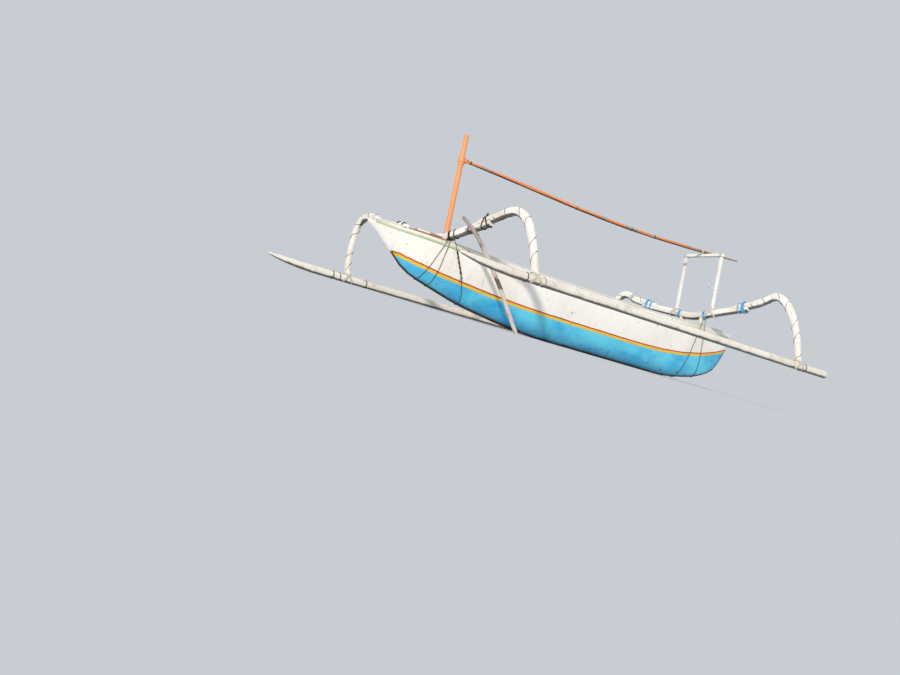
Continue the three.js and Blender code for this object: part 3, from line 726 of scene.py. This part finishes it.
sawn("hull_shell", "dugout_hull", hull_paint, 0.004, corner=0.7)
hull = piece_named["dugout_hull"]
hull.data.materials.append(hold_paint)
for face in hull.data.polygons:
    centre = in_plan(face.center)
    looks = TURN_UPRIGHT.to_3x3() @ face.normal
    outward = looks.y if centre.y > 0 else -looks.y
    inner = outward < 0 or abs(looks.x) > LOOKS_ALONG or looks.z > LOOKS_UP
    if inner and looks.z > LOOKS_DOWN and abs(centre.x) < HOLD_ENDS:
        face.material_index = 1
print(sum(face.material_index for face in hull.data.polygons), "faces are in the hold")

# %% [markdown]
# ## Planks, boards and blocks
#
# What was sawn has flat faces and straight edges, and years of hands and ropes have
# rounded them a little. A bevel of two segments is enough to catch the light there.

# %% Sawn pieces
SAWN = [
    # solid piece, the piece that stands for it, finish, width of its broken edge
    ("keel_shoe", "keel_strip", keel_paint, 0.003),
    ("bow_deck", "fore_deck", plank_paint, 0.002),
    ("stern_deck", "aft_deck", plank_paint, 0.002),
    ("hatch_board", "loose_hatch_board", hatch_wood, 0.004),
    ("mast_step", "mast_step_block", step_wood, 0.004),
    ("mast_partner", "mast_partner_board", board_wood, 0.003),
]
for row in SAWN:
    sawn(*row)
for place in ("aft", "middle", "fore"):
    sawn(f"{place}_thwart", f"{place}_seat_board", board_wood, 0.004)
for side in SIDES:
    sawn(f"wash_strake_{side}", f"wash_plank_{side}", plank_paint, 0.003)
    sawn(f"rub_strake_{side}", f"rubbing_band_{side}", green_paint, 0.003)
    sawn(f"gunwale_cap_{side}", f"gunwale_rail_{side}", rail_wood, 0.004)
    sawn(f"rear_chock_{side}", f"beam_chock_{side}", post_paint, 0.004)

# %% [markdown]
# ## Grown timbers
#
# Knees, beams, floats, posts, mast and spar are limbs of trees, and look wrong when they
# are too true. They could be sculpted, but a displace modifier with a soft noise does the
# same to all. Thin limbs are moved less; only the prop, an unworked branch, most of all.

# %% Carved and grown pieces
for side in SIDES:
    carved(f"front_knee_{side}", f"fore_knee_{side}", boom_paint)
    carved(f"rear_knee_{side}", f"aft_knee_{side}", boom_paint)
    carved(f"float_{side}", f"long_float_{side}", float_paint, 0.010, 3, 0.005)
    carved(f"gallows_post_{side}", f"stern_post_{side}", post_paint, 0.006, 2, 0.002)
carved("front_beam", "fore_beam", boom_paint)
carved("rear_beam", "aft_beam", boom_paint)
carved("gallows_crossbar", "stern_crossbar", post_paint, 0.006, 2, 0.002)
carved("gallows_hook", "stern_peg", post_paint, 0.004, 2, 0.001)
carved("mast", "short_mast", mast_paint, 0.006, 3, 0.002)
carved("spar", "bamboo_spar", spar_paint, 0.004, 3, 0.002)
carved("prop_pole", "prop_branch", branch_wood, 0.006, 3, 0.008)
carved("spar_collar", "spar_grommet", mast_paint, 0.003, 2, 0.001)
sawn("spar_pin", "grommet_pin", pin_wood, 0.001)

# %% [markdown]
# ## Joints of the bamboo
#
# A bamboo's joints show as raised rings about a foot apart, never quite evenly. They
# could be pieces, but the skin is fine enough to move the points near each joint outwards.

# %% Bamboo joints
SPAR_LINE = [
    # x, height of the spar's middle
    (-3066, 1926), (-2640, 1895), (-2380, 1877), (-1950, 1852), (-1300, 1822),
    (-700, 1809), (0, 1815), (700, 1836), (1400, 1855), (1970, 1866),
]
FIRST_JOINT, JOINT_EVERY, JOINT_DRIFT = -2890, 318, 22
JOINTS = [FIRST_JOINT + JOINT_EVERY * i + JOINT_DRIFT * sin(1.9 * i) for i in range(15)]
RING_HIGH, RING_WIDE = 0.0026, 7.0

for vertex in piece_named["bamboo_spar"].data.vertices:
    x, y, z = in_plan(vertex.co)
    away = plan_direction(0, y, z - height_along(SPAR_LINE, x))
    rise = sum(exp(-(((x - joint) / RING_WIDE) ** 2)) for joint in JOINTS)
    vertex.co += away * RING_HIGH * rise
print("raised", len(JOINTS), "joints on the spar")

# %% [markdown]
# ## Rope
#
# Nothing on this boat is bolted. Cord binds every knee to its beam and its float, and long
# ropes hold the booms down on the hull. All of it is tight, so nothing has to be simulated:
# a tight cord follows the smallest loop round what it crosses. That is the outline of the
# pieces, cut by a plane and swollen by the cord's own radius.

# %% The line of a tight cord
SWELL_STEPS, PER_TURN = 12, 40
BEYOND_SKIN = 0.15


def cut_points(names, at, across, reach):
    """Points where the skins of the pieces cross a plane, within reach of at"""
    found = []
    for name in names:
        mesh = piece_named[name].data
        points = [vertex.co for vertex in mesh.vertices]
        heights = [(point - at).dot(across) for point in points]
        for edge in mesh.edges:
            a, b = edge.vertices
            if (heights[a] > 0) != (heights[b] > 0):
                share = heights[a] / (heights[a] - heights[b])
                point = points[a].lerp(points[b], share)
                if (point - at).length < reach:
                    found.append(point)
    return found


def tight_loop(points, at, across, gap, step):
    """Evenly spaced points of the smallest loop that stays gap away from the points"""
    along = across.orthogonal().normalized()
    other = across.cross(along)
    swollen = []
    for point in points:
        a, b = (point - at).dot(along), (point - at).dot(other)
        for turn in range(SWELL_STEPS):
            angle = tau * turn / SWELL_STEPS
            swollen.append(Vector((a + gap * cos(angle), b + gap * sin(angle))))
    corners = [swollen[i] for i in convex_hull_2d(swollen)]
    corners.append(corners[0])
    loop = []
    left = 0.0
    for start, end in zip(corners, corners[1:]):
        length = (end - start).length
        while left < length:
            spot = start.lerp(end, left / length)
            loop.append(at + along * spot.x + other * spot.y)
            left += step
        left -= length
    return loop


def winding(loop, across, turns, pitch):
    """The loop drawn out into several turns side by side"""
    count = len(loop)
    return [
        loop[i % count] + across * pitch * (i / count - turns / 2)
        for i in range(int(count * turns) + 1)
    ]


def skin_of(name):
    """The skin of a piece, for rays to hit"""
    return BVHTree.FromObject(piece_named[name], bpy.context.evaluated_depsgraph_get())


def spiral(name, line, pitch, gap):
    """A cord winding along a limb; rays find the skin round the limb's middle line"""
    tree = skin_of(name)
    spots = [plan(*point) for point in line]
    lengths = [0.0]
    for a, b in zip(spots, spots[1:]):
        lengths.append(lengths[-1] + (b - a).length)
    path = []
    for i in range(int(lengths[-1] / pitch * PER_TURN) + 1):
        uneven = 0.16 * pitch * sin(0.09 * i)
        run = i * pitch / PER_TURN + uneven
        leg = max(k for k in range(len(spots) - 1) if lengths[k] <= run or k == 0)
        share = (run - lengths[leg]) / (lengths[leg + 1] - lengths[leg])
        centre = spots[leg].lerp(spots[leg + 1], min(share, 1))
        tangent = (spots[leg + 1] - spots[leg]).normalized()
        first = (TO_BOW - tangent * TO_BOW.dot(tangent)).normalized()
        second = tangent.cross(first)
        angle = tau * i / PER_TURN
        outward = first * cos(angle) + second * sin(angle)
        hit = tree.ray_cast(centre + outward * BEYOND_SKIN, -outward, BEYOND_SKIN)[0]
        if hit is not None:
            path.append(hit + outward * gap)
    return path


# %% [markdown]
# ## A solid cord
#
# A curve with a bevel makes a cord of any path, and is then made a mesh. Thin cord is
# round. Thick rope is three strands laid round each other: its profile has three lobes and
# turns along the line. Where a cord would sink into the floor, it lies on it.

# %% Making a cord solid
STRANDS = 3
LOBE_POINTS = 12
LOBE_DEEP = 0.14
TURN_EVERY = 0.045
CORD_WELD_GAP = 0.00001


def lobed_profile(radius):
    bpy.ops.curve.primitive_bezier_circle_add(radius=radius)
    profile = bpy.context.object
    profile.data.splines.clear()
    outline = profile.data.splines.new("POLY")
    outline.points.add(LOBE_POINTS - 1)
    outline.use_cyclic_u = True
    for i, point in enumerate(outline.points):
        angle = tau * i / LOBE_POINTS
        size = radius * (1 - LOBE_DEEP + LOBE_DEEP * cos(STRANDS * angle))
        point.co = (size * cos(angle), size * sin(angle), 0, 1)
    return profile


def cord(name, paths, radius, material, body="hull", laid=False):
    """One length of cord for each path; a laid one is a rope of three strands"""
    bpy.ops.curve.primitive_nurbs_path_add()
    piece = bpy.context.object
    piece.name = name
    shape = piece.data
    shape.splines.clear()
    shape.dimensions = "3D"
    shape.use_fill_caps = True
    shape.bevel_resolution = 1
    shape.bevel_depth = radius
    if laid:
        profile = lobed_profile(radius)
        shape.bevel_mode = "OBJECT"
        shape.bevel_object = profile
    for path in paths:
        line = shape.splines.new("POLY")
        line.points.add(len(path) - 1)
        run = 0.0
        for i, (point, spot) in enumerate(zip(line.points, path)):
            point.co = (spot.x, spot.y, max(spot.z, FLOOR_Z + radius), 1)
            run += (spot - path[i - 1]).length if i else 0
            point.tilt = tau * run / TURN_EVERY if laid else 0
    only(piece)
    bpy.ops.object.convert(target="MESH")
    piece = bpy.context.object
    if laid:
        only(profile)
        bpy.ops.object.delete()
    with editing(piece):
        bpy.ops.mesh.remove_doubles(threshold=CORD_WELD_GAP)
        bpy.ops.mesh.normals_make_consistent(inside=False)
    bpy.ops.object.shade_smooth()
    piece.data.materials.append(material)
    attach(piece, body)
    print(name, "with", len(piece.data.polygons), "faces")


# %% [markdown]
# ## Rope finishes
#
# Whatever cord was at hand was used, and sun and salt have bleached it in patches. A fibre
# is far thinner than a pixel, so a very fine noise stands for the fibres.

# %% Rope finishes
def rope_finish(name, light, dark, bleached):
    finish = Finish(name)
    fibres = finish.mottle(160.0, detail=3.0)
    finish.base(light, dark, fibres.over(0.35, 0.65))
    finish.coat(bleached, finish.mottle(9.0, detail=4.0).over(0.52, 0.72) * 0.5)
    return finish.done(0.85, fibres, 0.001, 0.8, gloss=0.2)


black_cord = rope_finish("black_cord", "3a3634", "1b1a1a", "6c655f")
blue_cord = rope_finish("blue_cord", "6fb6dc", "3f8cba", "a9d4e8")
white_cord = rope_finish("white_cord", "ddd5c6", "b3a894", "ebe5da")
brown_rope = rope_finish("brown_rope", "655a50", "3a332d", "938678")

# %% [markdown]
# ## Cord wound along the knees
#
# A thin dark cord winds along each bent knee, a hand's span between turns. A plain helix
# would float beside a bent limb, so the limb's middle is given by a few points, and rays
# find the skin round it.

# %% Knee windings
AFT_KNEE_LINE = [
    (1050, 1118), (1238, 1172), (1395, 1235), (1500, 1228), (1665, 1107),
    (1818, 873), (1908, 648), (1965, 430),
]
KNEE_LINES = {
    # boom, side: y and height of points on the knee's middle, from lap to foot
    ("fore", "port"): [
        (1050, 1062), (1226, 1105), (1345, 1124), (1450, 1120), (1584, 1062),
        (1695, 959), (1774, 831), (1872, 645), (1965, 430)],
    ("fore", "starboard"): [
        (1050, 1030), (1309, 1050), (1450, 1100), (1607, 1167), (1758, 1182),
        (1885, 1160), (1972, 1078), (2025, 950), (2047, 757), (2034, 548), (1992, 430)],
    ("aft", "port"): AFT_KNEE_LINE,
    ("aft", "starboard"): AFT_KNEE_LINE,
}
KNEE_CORD = 0.0028
KNEE_PITCH = 0.235

for (boom, side), rows in KNEE_LINES.items():
    knee = f"{boom}_knee_{side}"
    line = [(BOOM_X[boom], SIDES[side] * y, z) for y, z in rows]
    path = spiral(knee, line, KNEE_PITCH, 0.8 * KNEE_CORD)
    cord(f"{knee}_winding", [path], KNEE_CORD, brown_rope)

# %% [markdown]
# ## Lashings
#
# Beam and knee overlap, and two bands of cord close the overlap, each tied off in an
# overhand knot. On a float the knee's foot is bound with turns that cross over it. Each
# band is a tight loop wound on beside itself, and presses a little into the timber. One
# knot on the fore boom stands up like a hook; all others lie flat.

# %% Band, crossed lashing and knot
PRESSED = 0.9
LAYER_THICK = 1.8
TURN_WIDE = 2.06
BAND_STEP = 0.008
KNOT_STEPS = 60


def band(pieces, at, across, turns, radius, reach=0.11, layers=1):
    """Turns of cord side by side round the pieces, in layers"""
    points = cut_points(pieces, at, across, reach)
    paths = []
    for layer in range(layers):
        gap = radius * (PRESSED + LAYER_THICK * layer)
        loop = tight_loop(points, at, across, gap, BAND_STEP)
        paths.append(winding(loop, across, turns - layer, TURN_WIDE * radius))
    return paths


def cross_lashing(name, pieces, point, along, turns, radius, reach):
    """Two bands on opposite slants where two timbers meet"""
    paths = []
    for slant in (1, -1):
        across = (along + slant * UP_MAST).normalized()
        paths += band(pieces, plan(*point), across, turns, radius, reach)
    cord(name, paths, radius, white_cord)


def knot(at, facing, size):
    """An overhand knot: one closed line that passes through its own loop"""
    aside = facing.orthogonal().normalized()
    other = facing.cross(aside)
    path = []
    for i in range(KNOT_STEPS + 1):
        t = tau * i / KNOT_STEPS
        a = (sin(t) + 2 * sin(2 * t)) / 3
        b = (cos(t) - 2 * cos(2 * t)) / 3
        c = -sin(3 * t) / 3
        path.append(at + size * (a * aside + b * other + c * facing))
    return path


# %% Lap lashings
LAP_CORD = 0.0045
KNOT_SIZE, KNOT_ABOVE = 0.016, 0.003
HOOK_SIZE, HOOK_ABOVE = 0.021, 0.016
LAPS = [
    # boom, side of it, cord, [(y, z, slant, turns, layers)]
    ("fore", "port", black_cord, [(880, 1010, -0.25, 2, 1), (938, 1024, 0.62, 2, 1)]),
    ("fore", "starboard", black_cord, [(840, 1004, 0.17, 3, 1), (965, 1028, 0.17, 3, 1)]),
    ("aft", "port", blue_cord, [(842, 1062, 0.17, 2, 1), (925, 1082, 0.17, 6, 2)]),
    ("aft", "starboard", blue_cord, [(842, 1062, 0.17, 3, 1), (930, 1082, 0.17, 5, 2)]),
]
for boom, side, colour, bands in LAPS:
    pair = [f"{boom}_beam", f"{boom}_knee_{side}"]
    paths = []
    for y, z, slant, turns, layers in bands:
        at = plan(BOOM_X[boom], SIDES[side] * y, z)
        across = plan_direction(0, SIDES[side], slant)
        paths += band(pair, at, across, turns, LAP_CORD, layers=layers)
        top = max(paths[-1], key=lambda spot: spot.dot(UP_MAST))
        paths.append(knot(top + KNOT_ABOVE * UP_MAST, UP_MAST, KNOT_SIZE))
    if (boom, side) == ("fore", "port"):
        paths[-1] = knot(top + HOOK_ABOVE * UP_MAST, TO_BOW, HOOK_SIZE)
    cord(f"{boom}_lap_{side}_lashing", paths, LAP_CORD, colour)

# %% Float lashings
FOOT_CORD = 0.0032
FOOT_Y, FOOT_Z = 1980, 372

for boom, x in BOOM_X.items():
    for side, sign in SIDES.items():
        name, pair = f"{boom}_foot_{side}_lashing", [f"{boom}_knee_{side}", f"long_float_{side}"]
        cross_lashing(name, pair, (x, sign * FOOT_Y, FOOT_Z), TO_BOW, 4, FOOT_CORD, 0.115)

# %% [markdown]
# ## Belly ropes
#
# Three ropes hang from the fore beam under the hull and fan out below, two forward and one
# aft, so that the beam can't slide. Two more hold the aft beam. The tight loop round hull
# and beam gives their line; the part that would bridge the dip in the beam is left out.

# %% Belly ropes
BELLY_ROPE = 0.0045
BELLY_STEP = 0.012
WHOLE_BOAT = 2.0
DIP_DEEP, DIP_MARGIN = 0.10, 0.012
HULL_SKIN = ["dugout_hull", "keel_strip", "fore_deck"] + [
    f"{kind}_{side}" for kind in ("wash_plank", "rubbing_band", "gunwale_rail") for side in SIDES
]
BELLY = [
    # name, beam, (x, z) over the beam, (x, z) at the keel, half width on the beam
    ("fore_belly_rope_ahead", "fore_beam", (2140, 899), (2346, 292), 0.245),
    ("fore_belly_rope_middle", "fore_beam", (2132, 899), (2184, 250), 0.250),
    ("fore_belly_rope_behind", "fore_beam", (2122, 899), (1688, 133), 0.262),
    ("aft_belly_rope_ahead", "aft_beam", (-2372, 989), (-2190, 50), 0.240),
    ("aft_belly_rope_behind", "aft_beam", (-2388, 989), (-2560, 130), 0.232),
]
belly_loops = {}
for name, beam, (top_x, top_z), (low_x, low_z), half in BELLY:
    top, bottom = plan(top_x, 0, top_z), plan(low_x, 0, low_z)
    across = (bottom - top).cross(TO_PORT).normalized()
    skin = cut_points(HULL_SKIN, top, across, WHOLE_BOAT)
    beam_skin = cut_points([beam], top, across, WHOLE_BOAT)
    skin += [spot for spot in beam_skin if abs((spot - top).dot(TO_PORT)) < half]
    loop = tight_loop(skin, top, across, BELLY_ROPE, BELLY_STEP)
    bridging = [
        (spot - top).dot(UP_MAST) > -DIP_DEEP
        and abs((spot - top).dot(TO_PORT)) < half - DIP_MARGIN
        for spot in loop
    ]
    first = max(i for i in range(len(loop)) if bridging[i - 1] and not bridging[i])
    order = range(first - len(loop), first)
    belly_loops[name] = [loop[i] for i in order if not bridging[i]]
    cord(name, [belly_loops[name]], BELLY_ROPE, brown_rope, laid=True)

# %% [markdown]
# ## A worn tail
#
# A worn tail of the hindmost rope is laid up along it, two dark strands round each other,
# and ends in loose fibres. It follows the rope's own points, so it stays on the hull.

# %% Worn tail
TAIL_TOP, TAIL_END = 735, 427
TAIL_CORD = 0.0048
TAIL_LAY = 0.62  # radians that the strands turn from one point to the next

loop = belly_loops["fore_belly_rope_behind"]
middle = sum(loop, Vector()) / len(loop)
stretch = sorted(
    (spot for spot in loop if in_plan(spot).y > 0 and TAIL_END < in_plan(spot).z < TAIL_TOP),
    key=lambda spot: -in_plan(spot).z,
)
strands = [[], []]
for i, spot in enumerate(stretch[:-1]):
    run = (stretch[i + 1] - spot).normalized()
    aside = run.cross(spot - middle).normalized()
    outward = aside.cross(run).normalized()
    outward = outward if outward.dot(spot - middle) > 0 else -outward
    for strand, phase in zip(strands, (0, pi)):
        angle = TAIL_LAY * i + phase
        off_skin = 0.0075 + 0.0045 * cos(angle)
        off_rope = 0.004 + 0.010 * sin(angle)
        strand.append(spot + outward * off_skin + aside * off_rope)
cord("belly_rope_worn_tail", strands, TAIL_CORD, black_cord, laid=True)

# %% Loose fibres at its end
FIBRES, FIBRE_POINTS = 7, 6
FIBRE_STEP, FIBRE_SPREAD, FIBRE_RADIUS = 0.016, 0.003025, 0.0011

fibres = []
for i in range(FIBRES):
    spread = FIBRE_SPREAD * (i - FIBRES // 2)
    fibres.append([
        stretch[-2] + outward * (0.006 - 0.0009 * k) + run * FIBRE_STEP * k
        + aside * (spread * k + 0.002 * sin(2.1 * i + k))
        for k in range(FIBRE_POINTS)
    ])
cord("belly_rope_loose_fibres", fibres, FIBRE_RADIUS, black_cord)

# %% [markdown]
# ## Short turns of cord
#
# The rest are short bands on the beams, floats, mast and spar, each in a row that says
# where it is. Cord on the mast or the spar moves with it, so it rides on that body.

# %% A few turns of cord
RIG_BODY = {"short_mast": "mast", "bamboo_spar": "spar"}


def turns_of_cord(name, piece, point, direction, turns, radius, colour):
    """A short band round one piece; its radius is in millimetres"""
    paths = band([piece], plan(*point), plan_direction(*direction), turns, radius / MM)
    cord(name, paths, radius / MM, colour, RIG_BODY.get(piece, "hull"))


# %% Turns on the beams
ARM_RISE = {"fore": 0.2, "aft": 0.15}  # how steeply the arms of each beam rise
BEAM_TURNS = [
    # name, boom, y, z, turns, radius, cord
    ("beam_turns_port_inner", "fore", 256, 868, 4, 4.5, black_cord),
    ("beam_turns_port_outer", "fore", 352, 884, 2, 4.5, black_cord),
    ("beam_turns_port_far", "fore", 620, 940, 2, 3.5, brown_rope),
    ("beam_turns_starboard", "fore", -262, 870, 5, 4.5, black_cord),
    ("aft_beam_turns_port", "aft", 238, 964, 5, 4.5, blue_cord),
    ("aft_beam_turns_starboard", "aft", -238, 964, 5, 4.5, blue_cord),
]
for name, boom, y, z, turns, radius, colour in BEAM_TURNS:
    point, along = (BOOM_X[boom], y, z), (0, copysign(1, y), ARM_RISE[boom])
    turns_of_cord(name, f"{boom}_beam", point, along, turns, radius, colour)

# %% Turns on the floats
FLOAT_Y, FLOAT_Z = 1980, 333
FLOAT_TURNS = {
    # side: cord, [(place, x, turns)]
    "starboard": (black_cord, [
        ("nose", 2371, 2), ("fore", 2261, 2), ("behind", 1844, 2), ("aft", -2520, 2)]),
    "port": (brown_rope, [("fore", 2262, 2), ("behind", 2010, 1), ("aft", -2500, 2)]),
}
for side, (colour, rows) in FLOAT_TURNS.items():
    for place, x, turns in rows:
        name, point = f"float_turns_{side}_{place}", (x, SIDES[side] * FLOAT_Y, FLOAT_Z)
        turns_of_cord(name, f"long_float_{side}", point, (1, 0, 0), turns, 3, colour)

# %% Turns on mast and spar
RIG_TURNS = [
    # name, piece, point, direction, turns, radius, cord
    ("mast_foot_turns", "short_mast", (2046, 0, 932), (0, 0, 1), 4, 4.5, white_cord),
    ("spar_heel_turns", "bamboo_spar", (1905, 0, 1865), (1, 0, 0.02), 5, 2, brown_rope),
    ("spar_turns_fore", "bamboo_spar", (109, 0, 1816), (1, 0, 0.01), 3, 2, brown_rope),
    ("spar_turns_middle", "bamboo_spar", (-912, 0, 1812), (1, 0, -0.02), 3, 2, brown_rope),
    ("spar_turns_aft", "bamboo_spar", (-1355, 0, 1823), (1, 0, -0.04), 4, 2, brown_rope),
    ("spar_rest_turns", "bamboo_spar", (-2318, 0, 1873), (1, 0, -0.06), 6, 2.6, white_cord),
]
for row in RIG_TURNS:
    turns_of_cord(*row)

# %% [markdown]
# ## Lashings of the stern posts
#
# The posts under the spar's end are bound to the aft beam and to the crossbar. Crossed
# turns, as on the floats, grip two timbers from all four corners.

# %% Lashings of the stern posts
POST_CORD = 0.003

for side, sign in SIDES.items():
    post, along_beam = f"stern_post_{side}", plan_direction(0, sign, ARM_RISE["aft"])
    places = [
        # end of the post, other timber, y, z, the way that timber runs, turns, reach
        ("foot", "aft_beam", 338, 1022, along_beam, 4, 0.13),
        ("head", "stern_crossbar", 334, 1828, TO_PORT, 3, 0.07),
    ]
    for end, timber, y, z, along, turns, reach in places:
        name, point = f"{post}_{end}_lashing", (BOOM_X["aft"], sign * y, z)
        cross_lashing(name, [post, timber], point, along, turns, POST_CORD, reach)

# %% [markdown]
# ## Dowels
#
# Hardwood dowels hold the planks to the log, and their cut ends stand a hair proud. One
# end is copied along the plank, and a ray from outside finds each copy's place and slope;
# an array would need a straight plank.

# %% Dowel ends
DOWELS_A_SIDE, FIRST_DOWEL, DOWEL_EVERY = 19, -2690, 290
DOWEL_SUNK, DOWEL_RIM = 0.002, 0.0009
RAY_FROM_Y, RAY_LONG = 800, 0.9
PLANK_MIDDLE = [
    # x, height of the plank's middle
    (-2900, 803), (-2400, 772), (-1900, 737), (-1050, 713), (300, 709), (1360, 731),
    (1680, 745), (2100, 769), (2407, 786), (2716, 803),
]

bpy.ops.mesh.primitive_cylinder_add(vertices=14, radius=0.0075, depth=0.008)
dowel = bpy.context.object
for side, sign in SIDES.items():
    tree = skin_of(f"wash_plank_{side}")
    ends = []
    for i in range(DOWELS_A_SIDE):
        x = FIRST_DOWEL + DOWEL_EVERY * i + 18 * sin(2.3 * i)
        z = height_along(PLANK_MIDDLE, x) + 7 * sin(1.7 * i)
        spot, normal = tree.ray_cast(plan(x, sign * RAY_FROM_Y, z), -sign * TO_PORT, RAY_LONG)[:2]
        if spot is not None:
            end = copy_of(dowel)
            end.location = spot - DOWEL_SUNK * normal
            end.rotation_euler = normal.to_track_quat("Z", "Y").to_euler()
            end.scale = [1 + 0.1 * sin(i)] * 2 + [1]
            ends.append(end)
    for end in ends:
        end.select_set(True)
    bpy.ops.object.join()
    bpy.ops.object.transform_apply(location=True, rotation=True, scale=True)
    dowels = bpy.context.object
    dowels.name = f"wash_plank_{side}_dowels"
    break_edges(dowels, DOWEL_RIM, corner=0.7)
    bpy.ops.object.shade_smooth_by_angle(angle=SMOOTH_WITHIN)
    dowels.data.materials.append(plank_paint)
    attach(dowels, "hull")
    print(dowels.name, "has", len(ends), "ends")
only(dowel)
bpy.ops.object.delete()
